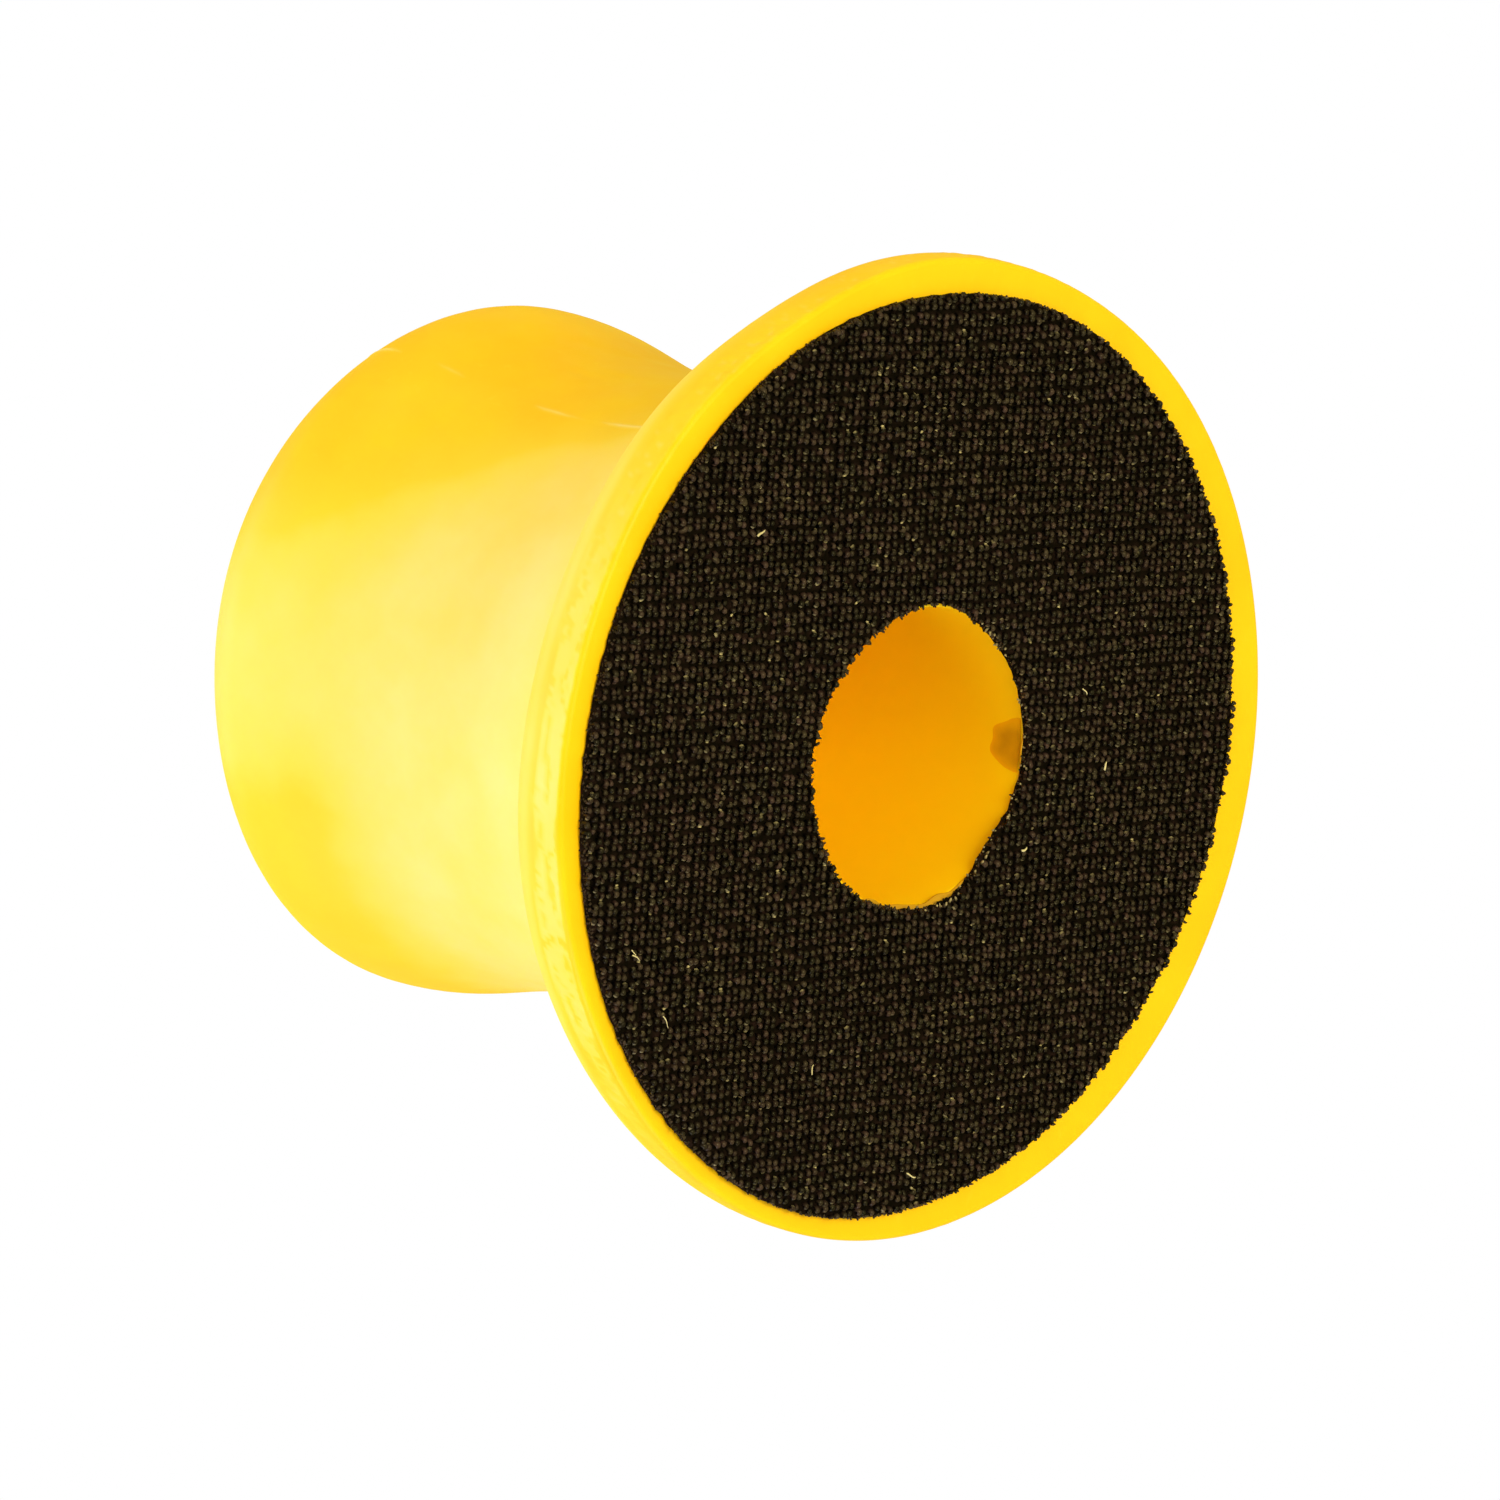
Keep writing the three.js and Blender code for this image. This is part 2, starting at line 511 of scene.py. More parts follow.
def painted_highlight_and_haze(angle, along, radius, height, on_edge, outer):
    """How pale the skin is: strongest round 262 degrees, and fading out both ways from there.

    The pale is a painted highlight on the side the soft light faced, over a little real haze. On
    one side the fade's place follows the height. Towards the pole it turns even, and the trimmed
    edge has its own, broken by streaks and specks.
    """
    streaks = ripple(angle, along, (4, 40), (2.0, 4.5), 1, 17)
    specks = ripple(angle, along, (90, 190), (1.5, 4.5), 1, 18)
    specks = specks * ripple(angle, along, (20, 90), (0.5, 2.5), 1, 19)
    blotches = smooth_step(0.1, 1.1, 0.6 * streaks + 0.6 * specks)
    away = np.degrees(np.angle(np.exp(1j * (angle - math.radians(262)))))
    limit = np.clip(46 - 1.4 * (height - 29), 17, 58)
    on_knob = smooth_step(34, 46, height) * (1 - smooth_step(54, 60, height))
    spread = np.where(
        away > 0,
        1 - smooth_step(limit - 18, limit + 18, away),
        (1 - 0.6 * on_knob * smooth_step(5, 32, -away)) * (1 - smooth_step(70, 150, -away)),
    )
    crown_fade = smooth_step(2, 14, radius)
    spread = spread * crown_fade + 0.4 * (1 - crown_fade)
    share = 1 - 0.25 * on_knob - 0.45 * (1 - smooth_step(10, 22, height))
    haze_and_highlight = share * spread * smooth_step(2, 5, height) * outer
    # The trimmed edge's paleness is painted highlight too, strongest round 250 degrees.
    edge_haze_and_highlight = 0.05 + bulge(angle, 250, 38, 0.8)
    haze_and_highlight = haze_and_highlight * (1 - on_edge) + on_edge * edge_haze_and_highlight * (1 - 0.55 * blotches)
    return np.clip(haze_and_highlight, 0, 1)


def close_poles(points):
    """The grid of points as a list with the bore's and the crown's poles, and all its faces."""
    rows, columns = points.shape[:2]
    bore_pole = rows * columns
    crown_pole = bore_pole + 1
    poles = [[*BORE_SWAY, FACE_Z + BORE_DEPTH], [KNOB_SWAY, 0, FACE_Z + CROWN_HEIGHT]]
    faces = grid_faces(rows, columns, True).tolist()
    ring = np.arange(columns)
    following = (ring + 1) % columns
    top = (rows - 1) * columns
    faces += np.stack([following, ring, np.full(columns, bore_pole)], axis=1).tolist()
    faces += np.stack([top + ring, top + following, np.full(columns, crown_pole)], 1).tolist()
    return np.concatenate([points.reshape(-1, 3), poles]), faces


def make_grip(material):
    """The moulding as a surface of two parameters, the place along its outline and the angle.

    Each point of the turned outline moves along the outline's normal by a soft waviness, the
    trimmed edge's marks and a thin ridge of flash, less the pits. The flange is a little out of
    round, and the knob and the bore are a little off the axis.
    """
    outline = grip_outline()
    normal, along = outline_lie(outline)
    radius = outline[:, 0][:, None]
    height = outline[:, 1][:, None]
    angle = PARTING_ANGLE + np.linspace(0, 2 * math.pi, TURN_STEPS, endpoint=False)[None, :]
    inside = (along < along[np.argmin(abs(outline[:, 1]) + abs(outline[:, 0] - 14))])[:, None]
    along = along[:, None]
    outer = np.where(inside, 0.0, 1.0) * smooth_step(0.2, 3.0, height)

    waviness = ripple(angle, along, (1, 5), (0.03, 0.16), 0.10, 3)
    waviness = waviness * smooth_step(2, 14, radius) * outer
    on_edge = edge_band(angle, radius, height)
    trim, chips = edge_marks(angle, along, on_edge)
    line, broken = parting_line(angle, radius, height, outer)
    flash = FLASH_HEIGHT * line * (0.12 + 0.88 * broken)
    shift = waviness + trim + flash - pit_depths(angle, radius, height, inside)

    oval = 0.15 + 0.45 * np.cos(2 * (angle - math.radians(118)))
    oval = oval + swellings(angle, FLANGE_SWELLS)
    r = radius + oval * smooth_step(20, 38, radius) * (1 - smooth_step(5, 16, height))
    r = r + shift * normal[:, :1]
    z = FACE_Z + height + shift * normal[:, 1:]
    sway = KNOB_SWAY * smooth_step(30, 60, height) * np.where(inside, 0.0, 1.0)
    # The bore's mask moves the bore off the axis, and is stored for the bore's lighter painted
    # tone, which stands in for light in the recess.
    bore_mask_and_painted_light = np.where(inside, 1.0, 0.0) * (1 - smooth_step(12.6, 13.9, radius))
    x = r * np.cos(angle) + sway + BORE_SWAY[0] * bore_mask_and_painted_light
    y = r * np.sin(angle) + BORE_SWAY[1] * bore_mask_and_painted_light
    points, faces = close_poles(np.stack([x, y, z + 0 * angle], axis=-1))
    grip = make_object("grip_moulding", points, faces, material)

    worn = np.clip(0.8 * broken * line + on_edge * np.clip(3 * chips, 0, 0.4), 0, 1)
    # Paler skin: mostly a painted highlight where the soft light fell, over a little real haze.
    haze_and_highlight = painted_highlight_and_haze(angle, along, radius, height, on_edge, outer)
    point_values(grip, "worn", np.concatenate([worn.ravel(), [0, 0]]))
    point_values(grip, "haze_and_painted_highlight", np.concatenate([haze_and_highlight.ravel(), [0, haze_and_highlight[-1].mean()]]))
    point_values(grip, "bore_mask_and_painted_light", np.concatenate([(bore_mask_and_painted_light + 0 * angle).ravel(), [1, 0]]))
    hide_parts("grip_body")
    return grip


# ---------------------------------------------------------------- the hook fabric


def weave_axes():
    """Unit directions in the face: along the rows of hooks, and across them."""
    along = np.array([math.sin(WEAVE_TURN), math.cos(WEAVE_TURN)])
    across = np.array([math.cos(WEAVE_TURN), -math.sin(WEAVE_TURN)])
    return along, across


def ground_cells():
    """The weave's cells that lie inside the cut, their points in the face, and the cut's edges.

    Each point on a cut edge is pulled to the edge's own radius at its angle.
    """
    along, across = weave_axes()
    step_a = HOOK_PITCH_ALONG / 4
    step_c = HOOK_PITCH_ACROSS * 0.4
    reach = RING_RADIUS + 1
    a = np.arange(-math.ceil(reach / step_a), math.ceil(reach / step_a) + 1) * step_a
    c = np.arange(-math.ceil(reach / step_c), math.ceil(reach / step_c) + 1) * step_c
    grid_a, grid_c = np.meshgrid(a, c, indexing="ij")
    spot = grid_a[..., None] * along + grid_c[..., None] * across
    far = np.linalg.norm(spot, axis=-1)
    middle = (far[:-1, :-1] + far[1:, :-1] + far[:-1, 1:] + far[1:, 1:]) / 4
    kept = (middle < RING_RADIUS) & (middle > RING_HOLE_RADIUS)

    number = np.arange(far.size).reshape(far.shape)
    quads = np.stack(
        [number[:-1, :-1], number[1:, :-1], number[1:, 1:], number[:-1, 1:]], axis=-1
    )[kept]
    edges = np.concatenate([quads[:, [i, (i + 1) % 4]] for i in range(4)])
    key = np.sort(edges, axis=1)
    _, first, count = np.unique(key, axis=0, return_index=True, return_counts=True)
    rim = edges[first[count == 1]]

    used, local = np.unique(quads, return_inverse=True)
    flat = spot.reshape(-1, 2)[used]
    size = np.linalg.norm(flat, axis=1)
    on_rim = np.isin(used, rim)
    hole, outer = ring_edges(np.arctan2(flat[:, 1], flat[:, 0]))
    wanted = np.where(size > (RING_RADIUS + RING_HOLE_RADIUS) / 2, outer, hole)
    scale = np.where(on_rim, wanted / np.maximum(size, 1), 1.0)
    return used, local.reshape(quads.shape), flat * scale[:, None], on_rim, rim


def make_ground(material):
    """The woven ground as a thin sheet with walls at its cut edges, open on its glued side.

    The exposed side swells under each group of two by two hooks and dips between the groups, as
    the root of a cosine along the rows times one across them.
    """
    along, across = weave_axes()
    used, cells, flat, on_rim, rim = ground_cells()
    rib_and_dip_shade = 0.5 + 0.5 * np.cos(math.pi * ((flat @ along) / HOOK_PITCH_ALONG - 0.5))
    row = 0.5 + 0.5 * np.cos(math.pi * ((flat @ across) / HOOK_PITCH_ACROSS - 0.5))
    raised = np.sqrt(rib_and_dip_shade * row)
    low = GROUND_BOTTOM + 0.12 - 0.24 * np.where(on_rim, 0.5, raised)
    shifted = flat + RING_SLIP
    rim_points = np.unique(rim).tolist()
    place_of = {point: number for number, point in enumerate(used.tolist())}
    top_of = {point: number + len(flat) for number, point in enumerate(rim_points)}
    rim_flat = shifted[[place_of[point] for point in rim_points]]
    top = np.column_stack([rim_flat, np.full(len(rim_flat), GROUND_TOP)])
    points = np.concatenate([np.column_stack([shifted, low]), top])
    walls = [[place_of[q], place_of[p], top_of[p], top_of[q]] for p, q in rim.tolist()]
    ground = make_object("woven_ground", points, cells.tolist() + walls, material)
    edge_yarns = np.random.default_rng(19).random(len(top))
    # The same swell is stored for the material, which paints the dips almost black: painted shade.
    point_values(ground, "rib_and_dip_shade", np.concatenate([raised, edge_yarns]))
    return ground


def tube_template(path, radii, sides):
    """A closed flattened tube about a flat path: corners as (along, up, aside), and its faces."""
    path = np.asarray(path, float)
    step = np.gradient(path, axis=0)
    step /= np.linalg.norm(step, axis=1, keepdims=True)
    normal = np.stack([-step[:, 1], step[:, 0]], axis=1)
    turn = np.linspace(0, 2 * math.pi, sides, endpoint=False)
    ring_normal = np.cos(turn)[None, :, None] * normal[:, None, :] * radii[:, None, None]
    ring_aside = FILAMENT_SPREAD * np.sin(turn)[None, :] * radii[:, None]
    corners = np.concatenate([path[:, None, :] + ring_normal, ring_aside[..., None]], axis=-1)
    faces = grid_faces(len(path), sides, True).tolist()
    last = (len(path) - 1) * sides
    faces.append(list(range(sides))[::-1])
    faces.append([last + i for i in range(sides)])
    return corners.reshape(-1, 3), faces


def hook_path():
    """A cut loop of filament: a stem that rises, runs along the face and turns back down."""
    low = HOOK_CREST - HOOK_BEND_RADIUS
    rise = np.radians([180, 105])
    fall = np.radians([75, 10])
    start = np.stack(
        [HOOK_BEND_RADIUS * (1 + np.cos(rise)), low + HOOK_BEND_RADIUS * np.sin(rise)], axis=1
    )
    end = np.stack(
        [
            HOOK_REACH - HOOK_BEND_RADIUS * (1 - np.cos(fall)),
            low + HOOK_BEND_RADIUS * np.sin(fall),
        ],
        axis=1,
    )
    return np.concatenate([[[0.03, -0.12]], start, end])


def placed(template, base, stretch, lean, spin, scale, direction):
    """Copies of a template stood on their bases: each leant, spun and sized its own way."""
    count = len(base)
    across = weave_axes()[1]
    ahead = np.append(across, 0)[None, :] * direction[:, None]
    down = np.tile([0.0, 0.0, -1.0], (count, 1))
    aside = np.cross(ahead, down)
    turned_ahead = np.cos(spin)[:, None] * ahead + np.sin(spin)[:, None] * aside
    turned_aside = np.cross(turned_ahead, down)
    leant_down = down + lean[:, :1] * turned_ahead + lean[:, 1:] * turned_aside
    leant_down /= np.linalg.norm(leant_down, axis=1, keepdims=True)
    t = template[None, :, :] * scale[:, None, None]
    world = (
        t[..., :1] * (stretch[:, None] * turned_ahead)[:, None]
        + t[..., 1:2] * leant_down[:, None]
        + t[..., 2:] * turned_aside[:, None]
    )
    foot = np.column_stack([base + RING_SLIP, np.full(count, GROUND_BOTTOM)])
    return world + foot[:, None, :]


def copies(template, faces, places):
    """Points and faces of all the copies in one mesh."""
    count = len(places)
    points = places.reshape(-1, 3)
    all_faces = []
    for number in range(count):
        offset = number * len(template)
        all_faces.extend([[i + offset for i in face] for face in faces])
    return points, all_faces


def ring_edges(angle):
    """The two cut edges of the fabric: the hole's radius and the outer radius at an angle."""
    hole = RING_HOLE_RADIUS + ripple(angle, 0 * angle, (2, 7), (0, 1), 0.10, 51)
    hole = hole + ripple(angle, 0 * angle, (20, 60), (0, 1), 0.05, 52)
    hole = hole + swellings(angle, HOLE_SWELLS)
    outer = RING_RADIUS + ripple(angle, 0 * angle, (3, 9), (0, 1), 0.05, 53)
    outer = outer + ripple(angle, 0 * angle, (60, 160), (0, 1), 0.025, 54)
    outer = outer + swellings(angle, RIM_SWELLS)
    return hole, outer


def hook_cells(rng):
    """The middle of each hook's place in the face, and which way across the rows it points.

    The places are the weave's crossings, drawn together in pairs both ways, with a slow wander
    and a little scatter.
    """
    along, across = weave_axes()
    reach = RING_RADIUS + 1
    steps_along = math.ceil(reach / HOOK_PITCH_ALONG)
    steps_across = math.ceil(reach / HOOK_PITCH_ACROSS)
    a = np.arange(-steps_along, steps_along + 1)
    c = np.arange(-steps_across, steps_across + 1)
    column, row = (x.ravel() for x in np.meshgrid(a, c, indexing="ij"))
    direction = np.where(rng.random(len(row)) < 0.8, -1.0, 1.0)
    place_along = column * HOOK_PITCH_ALONG + np.where(column % 2 == 0, 1, -1) * PAIR_SHIFT
    wander = 0.12 * np.sin(0.21 * place_along + 0.2 * row) + rng.normal(0, 0.08, len(row))
    place_across = row * HOOK_PITCH_ACROSS + np.where(row % 2 == 0, 1, -1) * PAIR_SHIFT + wander
    place_along = place_along + rng.normal(0, 0.045, len(row)) + 0.12 * np.sin(0.17 * place_across)
    return place_along[:, None] * along + place_across[:, None] * across, direction


def clip_hooks(cell, direction):
    """Each hook's base and share of full reach inside the cut edges, and whether it is kept.

    Of the places along a hook only those inside the cut edges count, so a hook at an edge is
    shorter or is left out.
    """
    across = weave_axes()[1]
    reach_share = np.linspace(-0.5, 0.5, CLIP_STEPS + 1)
    spots = cell[:, None, :] + (
        (direction[:, None] * reach_share * HOOK_REACH)[..., None] * across
    )
    far = np.linalg.norm(spots, axis=-1)
    hole, outer = ring_edges(np.arctan2(spots[..., 1], spots[..., 0]))
    inside = (far > hole + 0.04) & (far < outer - 0.04)
    first = np.argmax(inside, axis=1)
    last = CLIP_STEPS - np.argmax(inside[:, ::-1], axis=1)
    stretch = (last - first) / CLIP_STEPS
    kept = inside.any(axis=1) & (stretch > 0.3)
    base = cell + (direction * reach_share[first] * HOOK_REACH)[:, None] * across
    return base, stretch, kept


def hook_lie(rng, count):
    """How each hook sits: its spin, its lean both ways and its size. A few are bent aside."""
    spin = rng.normal(0, 0.35, count)
    lean = rng.normal(0, 0.07, (count, 2))
    bent = rng.random(count) < 0.05
    lean[bent] += rng.normal(0, 0.35, (bent.sum(), 2))
    spin[bent] += rng.normal(0, 0.5, bent.sum())
    return spin, lean, rng.uniform(0.85, 1.1, count)


def make_hooks(material):
    """Rows of cut hooks and their stubs over the whole ring, as four quarters of the ring."""
    rng = np.random.default_rng(7)
    across = weave_axes()[1]
    cell, direction = hook_cells(rng)
    base, stretch, kept = clip_hooks(cell, direction)
    base, cell, direction, stretch = base[kept], cell[kept], direction[kept], stretch[kept]
    count = len(base)
    spin, lean, scale = hook_lie(rng, count)
    # The pale tip value marks a few hooks' tips: partly the rough cut end, partly a painted glint.
    tones = {
        "shade": rng.random(count) ** 1.7,
        "tint": rng.random(count),
        "cut": rng.random(count) ** 5,
    }

    path = hook_path()
    radii = np.full(len(path), FILAMENT_RADIUS)
    radii[-1] = FILAMENT_RADIUS * 0.85
    template, faces = tube_template(path, radii, HOOK_SIDES)
    tip = np.repeat(np.arange(len(path)) >= len(path) - 1, HOOK_SIDES).astype(float)
    stub_path = np.array([[0.0, -0.1], [0.0, 0.1], [-0.03, 0.24]])
    stub_radii = np.full(3, FILAMENT_RADIUS * 0.7)
    stub, stub_faces = tube_template(stub_path, stub_radii, HOOK_SIDES)
    stub_tip = np.repeat([0.0, 0.0, 1.0], HOOK_SIDES)

    angle = np.arctan2(cell[:, 1], cell[:, 0])
    sector = ((angle + math.pi) / (2 * math.pi) * 4).astype(int) % 4
    stub_base = base + (direction * (HOOK_REACH + 0.12))[:, None] * across
    stub_far = np.linalg.norm(stub_base, axis=1)
    hole, outer = ring_edges(np.arctan2(stub_base[:, 1], stub_base[:, 0]))
    stands = (stub_far < outer - 0.15) & (stub_far > hole + 0.15) & (rng.random(count) < 0.12)
    fields = []
    for quarter in range(4):
        mine = sector == quarter
        mine_stub = mine & stands
        places = placed(
            template,
            base[mine],
            stretch[mine],
            lean[mine],
            spin[mine],
            scale[mine],
            direction[mine],
        )
        points, all_faces = copies(template, faces, places)
        stub_places = placed(
            stub,
            stub_base[mine_stub],
            stretch[mine_stub],
            lean[mine_stub] * 1.5,
            spin[mine_stub],
            scale[mine_stub],
            direction[mine_stub],
        )
        stub_points, stub_all = copies(stub, stub_faces, stub_places)
        offset = len(points)
        all_faces += [[i + offset for i in face] for face in stub_all]
        points = np.concatenate([points, stub_points])
        field = make_object(f"hook_field_{quarter + 1}", points, all_faces, material)
        for name, tone in tones.items():
            on_hook = tip if name == "cut" else np.ones(len(template))
            on_stub = stub_tip if name == "cut" else np.ones(len(stub))
            hook_tone = tone[mine][:, None] * on_hook
            stub_tone = tone[mine_stub][:, None] * on_stub
            point_values(field, name, np.concatenate([hook_tone.ravel(), stub_tone.ravel()]))
        fields.append(field)
    return fields


def make_fibre(start, heading, length, radius, curl, steps, seed):
    """A loose fibre: a thin tube that wanders from its start along a heading."""
    rng = np.random.default_rng(seed)
    t = np.linspace(0, 1, steps)
    heading = np.array(heading, float)
    heading /= np.linalg.norm(heading)
    side = np.cross(heading, [0, 0, 1.0])
    side /= np.linalg.norm(side)
    lift = np.cross(side, heading)
    sway = curl * length * np.sin(t * rng.uniform(2, 4) + rng.uniform(0, 6))
    rise = 0.4 * curl * length * np.sin(t * rng.uniform(2, 5) + rng.uniform(0, 6))
    line = (
        np.array(start)
        + (t * length)[:, None] * heading
        + sway[:, None] * side
        + rise[:, None] * lift
    )
    turn = np.linspace(0, 2 * math.pi, FIBRE_SIDES, endpoint=False)
    width = radius * (1 - 0.5 * t**3)
    ring = (
        np.cos(turn)[None, :, None] * side * width[:, None, None]
        + np.sin(turn)[None, :, None] * lift * width[:, None, None]
    )
    points = (line[:, None, :] + ring).reshape(-1, 3)
    faces = grid_faces(steps, FIBRE_SIDES, True).tolist()
    faces.append(list(range(FIBRE_SIDES))[::-1])
    faces.append([(steps - 1) * FIBRE_SIDES + i for i in range(FIBRE_SIDES)])
    return points, faces


def make_fibres(name, listed, steps, material):
    """Several loose fibres joined into one piece."""
    points, faces = [], []
    offset = 0
    for number, (start, heading, length, radius, curl) in enumerate(listed):
        fibre, fibre_faces = make_fibre(start, heading, length, radius, curl, steps, number)
        faces += [[i + offset for i in face] for face in fibre_faces]
        points.append(fibre)
        offset += len(fibre)
    return make_object(name, np.concatenate(points), faces, material)


def cut_edge_fibres(material):
    """The cut ends of the yarns, short and close together all over the fabric's two cut edges."""
    rng = np.random.default_rng(31)
    listed = []
    for outward, count, longest in ((1, 1900, 0.14), (-1, 640, 0.3)):
        for angle in rng.uniform(0, 2 * math.pi, count):
            hole, outer = ring_edges(np.array([angle]))
            radius = (outer if outward > 0 else hole)[0]
            away = np.array([math.cos(angle), math.sin(angle)])
            start = away * (radius - outward * 0.16) + RING_SLIP
            heading = np.append(away * outward + rng.normal(0, 0.3, 2), rng.normal(-0.25, 0.3))
            z = rng.uniform(GROUND_BOTTOM - 0.2, GROUND_TOP)
            length = 0.18 + longest * rng.random() ** 2
            listed.append((np.append(start, z), heading, length, 0.12, 0.12))
    fibres = make_fibres("cut_edge_fibres", listed, TUFT_STEPS, material)
    corners = TUFT_STEPS * FIBRE_SIDES
    point_values(fibres, "shade", np.repeat(rng.random(len(listed)) ** 0.8, corners))
    point_values(fibres, "tint", np.repeat(rng.random(len(listed)), corners))
    # Some tufts near the hole get pale tips too: partly rough ends, partly painted glint.
    frayed = np.array([math.hypot(*start[:2]) < 16 and start[1] > 2 for start, *_ in listed])
    pale = frayed * (rng.random(len(listed)) < 0.35) * rng.uniform(0.3, 0.8, len(listed))
    point_values(fibres, "cut", (pale[:, None] * np.repeat([0, 0.4, 1, 1], FIBRE_SIDES)).ravel())
    return fibres


def make_caught_bits(material):
    """A few short pale fibres lying among the hook tips."""
    listed = []
    for x, y, turn, length, radius, curl in CAUGHT_BITS:
        heading = (math.cos(math.radians(turn)), math.sin(math.radians(turn)), 0.05)
        listed.append(((x, y, GROUND_BOTTOM - HOOK_CREST - 0.2), heading, length, radius, curl))
    return make_fibres("caught_lint", listed, 9, material)


# ---------------------------------------------------------------- the glue


def make_glue_film(material):
    """The glue between ring and face: a flat ring with uneven edges, as a closed outline turned."""
    angle = np.linspace(0, 2 * math.pi, 360, endpoint=False)
    squeezed = np.exp(-((np.angle(np.exp(1j * (angle - math.pi))) / 0.6) ** 2))
    inner = RING_HOLE_RADIUS + 0.3 - 0.5 * squeezed
    inner = inner + ripple(angle, 0 * angle, (3, 30), (0, 1), 0.10, 41)
    outer = RING_RADIUS - 0.35 + ripple(angle, 0 * angle, (3, 40), (0, 1), 0.12, 42)
    rings = [(inner, GROUND_TOP), (outer, GROUND_TOP), (outer, FACE_Z), (inner, FACE_Z)]
    points = np.concatenate(
        [
            np.column_stack(
                [
                    r * np.cos(angle) + RING_SLIP[0],
                    r * np.sin(angle) + RING_SLIP[1],
                    np.full(len(angle), z),
                ]
            )
            for r, z in rings
        ]
    )
    count = len(angle)
    faces = grid_faces(4, count, True).tolist()
    ring = np.arange(count)
    after = (ring + 1) % count
    faces += np.stack([3 * count + ring, 3 * count + after, after, ring], axis=1).tolist()
    film = make_object("glue_film_spread", points, faces, material)
    point_values(film, "cover", np.full(len(points), 0.6))
    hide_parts("glue_film")
    return film


def make_glue_smear(name, middle_angle, half_angle, depth, thickness, seed, material):
    """Glue that ran over the bore's edge: a thin patch on the wall, sunk into it at its rim."""
    across = np.linspace(-1, 1, 41)[None, :]
    deep = np.linspace(0, 1, 25)[:, None]
    angle = middle_angle + across * half_angle
    ragged = ripple(3 * across, 2.5 * deep, (1, 3), (0.5, 2), 0.05, seed)
    inside = 1 - np.hypot(across, deep) ** 2.2 + ragged
    raised = thickness * smooth_step(0.05, 0.6, inside) - 0.03
    z = 0.25 + deep * depth + 0 * across
    radius = BORE_RADIUS - raised - BORE_DRAFT * z / BORE_DEPTH
    x = radius * np.cos(angle) + BORE_SWAY[0]
    y = radius * np.sin(angle) + BORE_SWAY[1]
    points = np.stack([x, y, FACE_Z + z], axis=-1)
    faces = grid_faces(25, 41, False, flip=True).tolist()
    smear = make_object(name, points.reshape(-1, 3), faces, material)
    point_values(smear, "cover", 0.6 * smooth_step(0.1, 0.9, inside) + 0 * z)
    return smear


# ---------------------------------------------------------------- stage, light and camera


def one_way_white():
    """The floor's white: a plain pale face from above, and clear from underneath.

    Near the holder its colour leans to blue, so that it looks white in the warm light. Farther
    out it turns into a plain white glow that meets the backdrop with no horizon.
    """
    n = Nodes("one_way_white")
    n.shader.inputs["Base Color"].default_value = (0.40, 0.43, 0.65, 1)
    n.shader.inputs["Emission Color"].default_value = (0.60, 0.62, 0.76, 1)
    n.shader.inputs["Emission Strength"].default_value = 0.95
    n.shader.inputs["Roughness"].default_value = 0.9
    n.shader.inputs["Specular IOR Level"].default_value = 0.0
    away = n.add("ShaderNodeVectorMath", {0: n.place()}, operation="LENGTH").outputs["Value"]
    white = n.add("ShaderNodeEmission", {"Color": (1, 1, 1, 1), "Strength": 1.0})
    pale = n.add("ShaderNodeMixShader")
    n.set(pale.inputs[0], n.span(away, 0.15, 0.9))
    n.set(pale.inputs[1], n.shader.outputs["BSDF"])
    n.set(pale.inputs[2], white.outputs["Emission"])
    clear = n.add("ShaderNodeBsdfTransparent").outputs["BSDF"]
    above = n.math("SUBTRACT", 1.0, n.add("ShaderNodeNewGeometry").outputs["Backfacing"])
    looked_at = n.add("ShaderNodeLightPath").outputs["Is Camera Ray"]
    choice = n.add("ShaderNodeMixShader")
    n.set(choice.inputs[0], n.math("MULTIPLY", above, looked_at))
    n.set(choice.inputs[1], clear)
    n.set(choice.inputs[2], pale.outputs[0])
    n.set(n.tree.nodes["Material Output"].inputs["Surface"], choice.outputs[0])
    return n.material


def make_floor():
    """A wide pale floor at the hook tips, seen only from above."""
    half = 6.0
    mesh = bpy.data.meshes.new("floor")
    corners = [(-half, -half, 0), (half, -half, 0), (half, half, 0), (-half, half, 0)]
    mesh.from_pydata(corners, [], [(0, 1, 2, 3)])
    mesh.materials.append(one_way_white())
    floor = bpy.data.objects.new("floor", mesh)
    bpy.context.scene.collection.objects.link(floor)


def make_world(strength, backdrop):
    """A plain white backdrop for the camera, and an even yellow light for everything else."""
    world = bpy.data.worlds.new("studio")
    bpy.context.scene.world = world
    world.use_nodes = True
    tree = world.node_tree
    tree.nodes.clear()
    output = tree.nodes.new("ShaderNodeOutputWorld")
    ray = tree.nodes.new("ShaderNodeLightPath")
    light = tree.nodes.new("ShaderNodeBackground")
    light.inputs["Color"].default_value = YELLOW_AIR
    light.inputs["Strength"].default_value = strength
    seen = tree.nodes.new("ShaderNodeBackground")
    seen.inputs["Color"].default_value = (1, 1, 1, 1)
    seen.inputs["Strength"].default_value = backdrop
    choice = tree.nodes.new("ShaderNodeMixShader")
    tree.links.new(ray.outputs["Is Camera Ray"], choice.inputs[0])
    tree.links.new(light.outputs[0], choice.inputs[1])
    tree.links.new(seen.outputs[0], choice.inputs[2])
    tree.links.new(choice.outputs[0], output.inputs["Surface"])


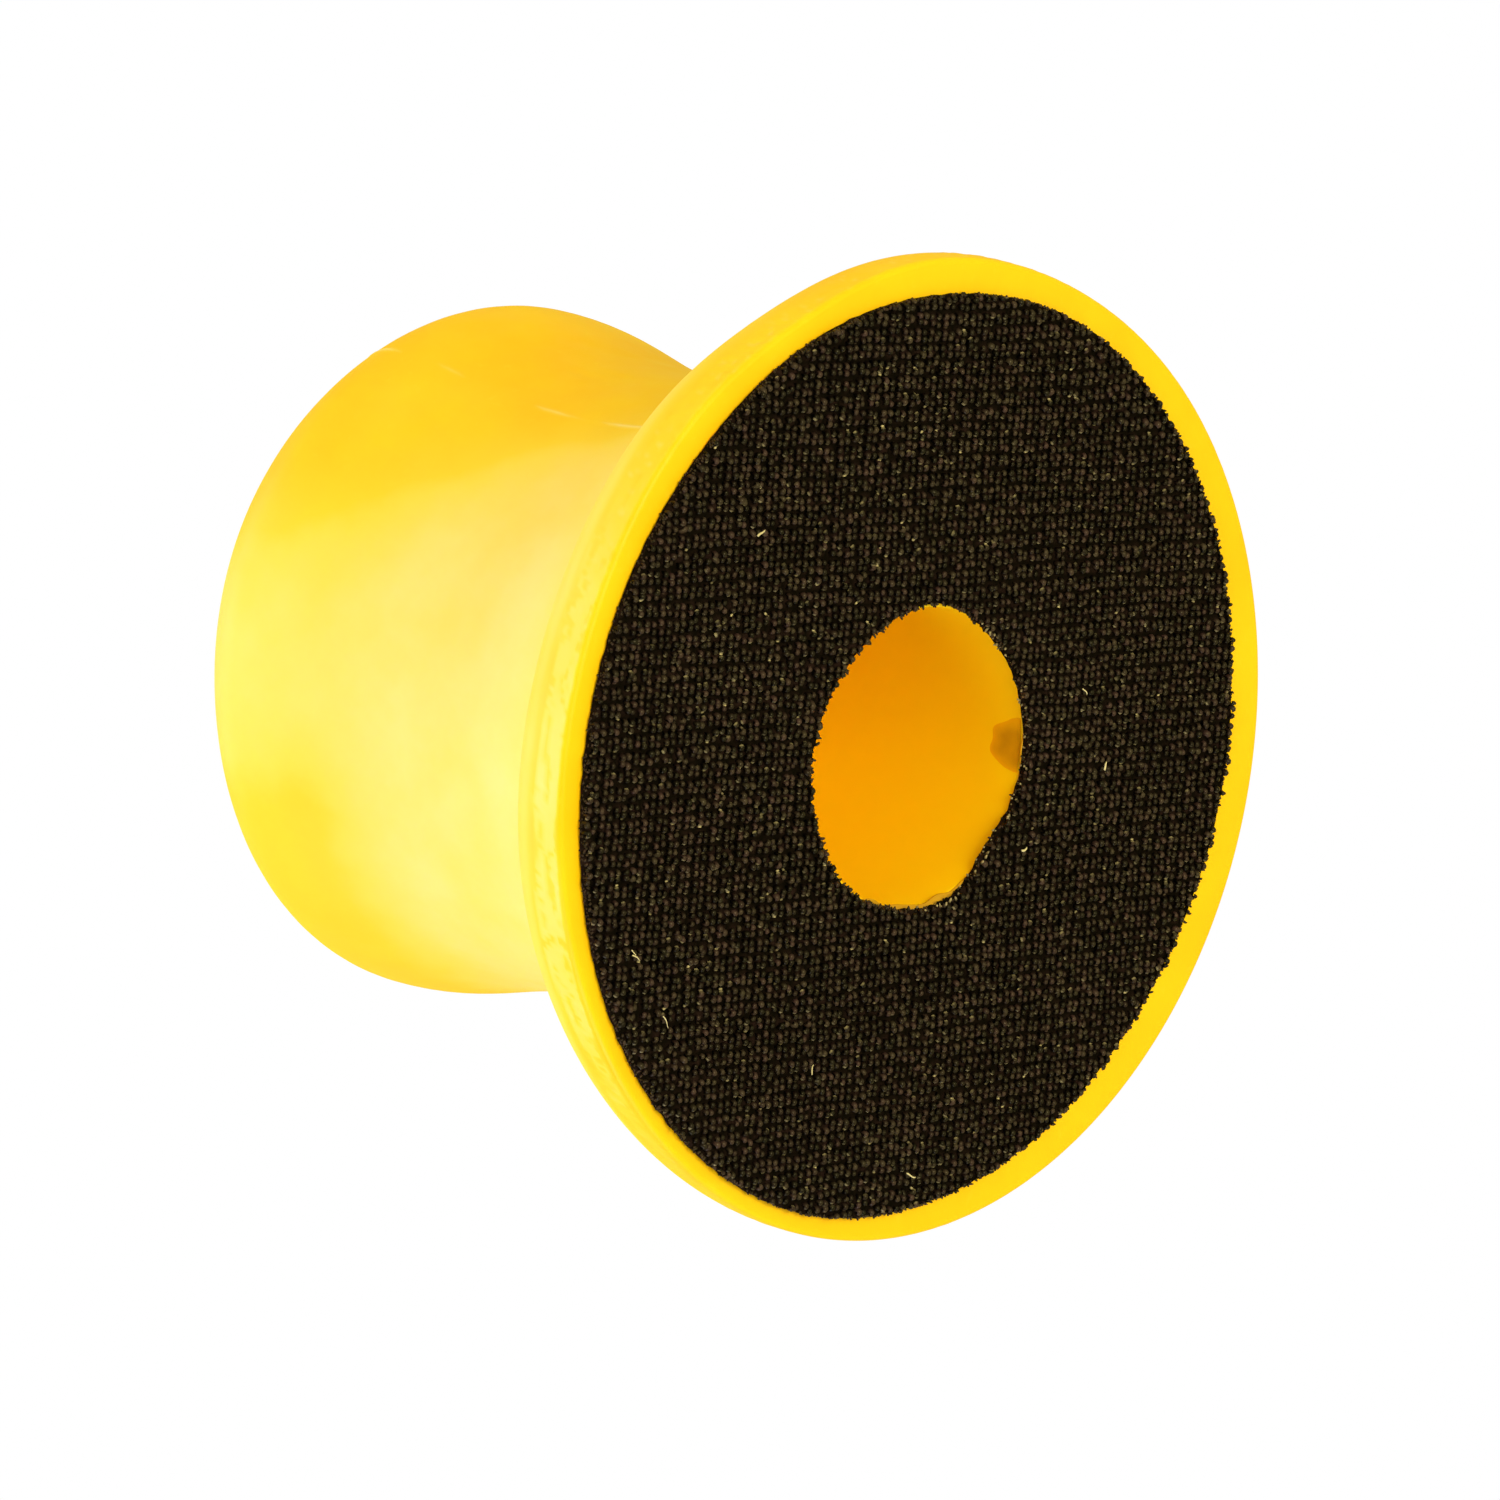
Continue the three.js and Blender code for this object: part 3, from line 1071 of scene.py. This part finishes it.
def make_lamp(name, place, power, size, colour=(1, 1, 1)):
    """A square soft box that faces the grip's middle."""
    data = bpy.data.lights.new(name, "AREA")
    data.energy = power
    data.size = size
    data.color = colour
    lamp = bpy.data.objects.new(name, data)
    lamp.location = place
    middle = Vector((0, 0, 0.03))
    lamp.rotation_mode = "QUATERNION"
    lamp.rotation_quaternion = (middle - Vector(place)).to_track_quat("-Z", "Y")
    bpy.context.scene.collection.objects.link(lamp)


CAMERA_PLACE = Vector((0, -0.51593, -0.46877))
CAMERA_AIM = Vector((-0.00306, 0.00463, 0.02475))
CAMERA_ROLL = math.radians(76.74)
CAMERA_LENS = 209.05


def make_camera():
    """The camera looks up at the face from the side, rolled so that the grip lies to the left."""
    data = bpy.data.cameras.new("camera")
    data.lens = CAMERA_LENS
    data.sensor_width = 36
    data.clip_start = 0.01
    data.clip_end = 50
    camera = bpy.data.objects.new("camera", data)
    camera.location = CAMERA_PLACE
    look = (CAMERA_AIM - CAMERA_PLACE).to_track_quat("-Z", "Y")
    camera.rotation_mode = "QUATERNION"
    camera.rotation_quaternion = look @ Matrix.Rotation(-CAMERA_ROLL, 3, "Z").to_quaternion()
    bpy.context.scene.collection.objects.link(camera)
    bpy.context.scene.camera = camera


def make_lights():
    """White soft boxes in front, at the palm end and on the -X side, with two tinted ones.

    A warm one stands on the +X side, and an amber one below shines into the bore.
    """
    make_world(0.70, 1.0)
    make_lamp("key", (-0.25, -0.9, 0.55), 1.9, 1.5)
    make_lamp("palm_side", (-0.1, -0.5, 0.95), 5.2, 1.0)
    make_lamp("top_side", (0.9, -0.5, 0.35), 2.0, 0.8, WARM_LAMP)
    make_lamp("low_side", (-1.0, -0.3, 0.0), 5.5, 0.8)
    make_lamp("bore_fill", (0.24, -0.3, -0.92), 8.2, 0.5, AMBER_LAMP)


# ---------------------------------------------------------------- the holder

make_camera()
make_lights()
make_floor()

yellow = moulded_yellow()
filament = black_filament()
weave = black_weave()
glue = dried_glue()
lint = pale_lint()

make_grip(yellow)
hook_fields = make_hooks(filament)
edge_fibres = cut_edge_fibres(filament)
caught = make_caught_bits(lint)
woven_ground = make_ground(weave)
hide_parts("hook_ground")
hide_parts("hook_pile")
make_glue_film(glue)
make_glue_smear("glue_smear", math.radians(77), math.radians(12), 3.8, 0.1, 5, glue)

scene = bpy.context.scene
scene.view_settings.view_transform = "Standard"
scene.view_settings.look = "None"

bpy.context.view_layer.update()
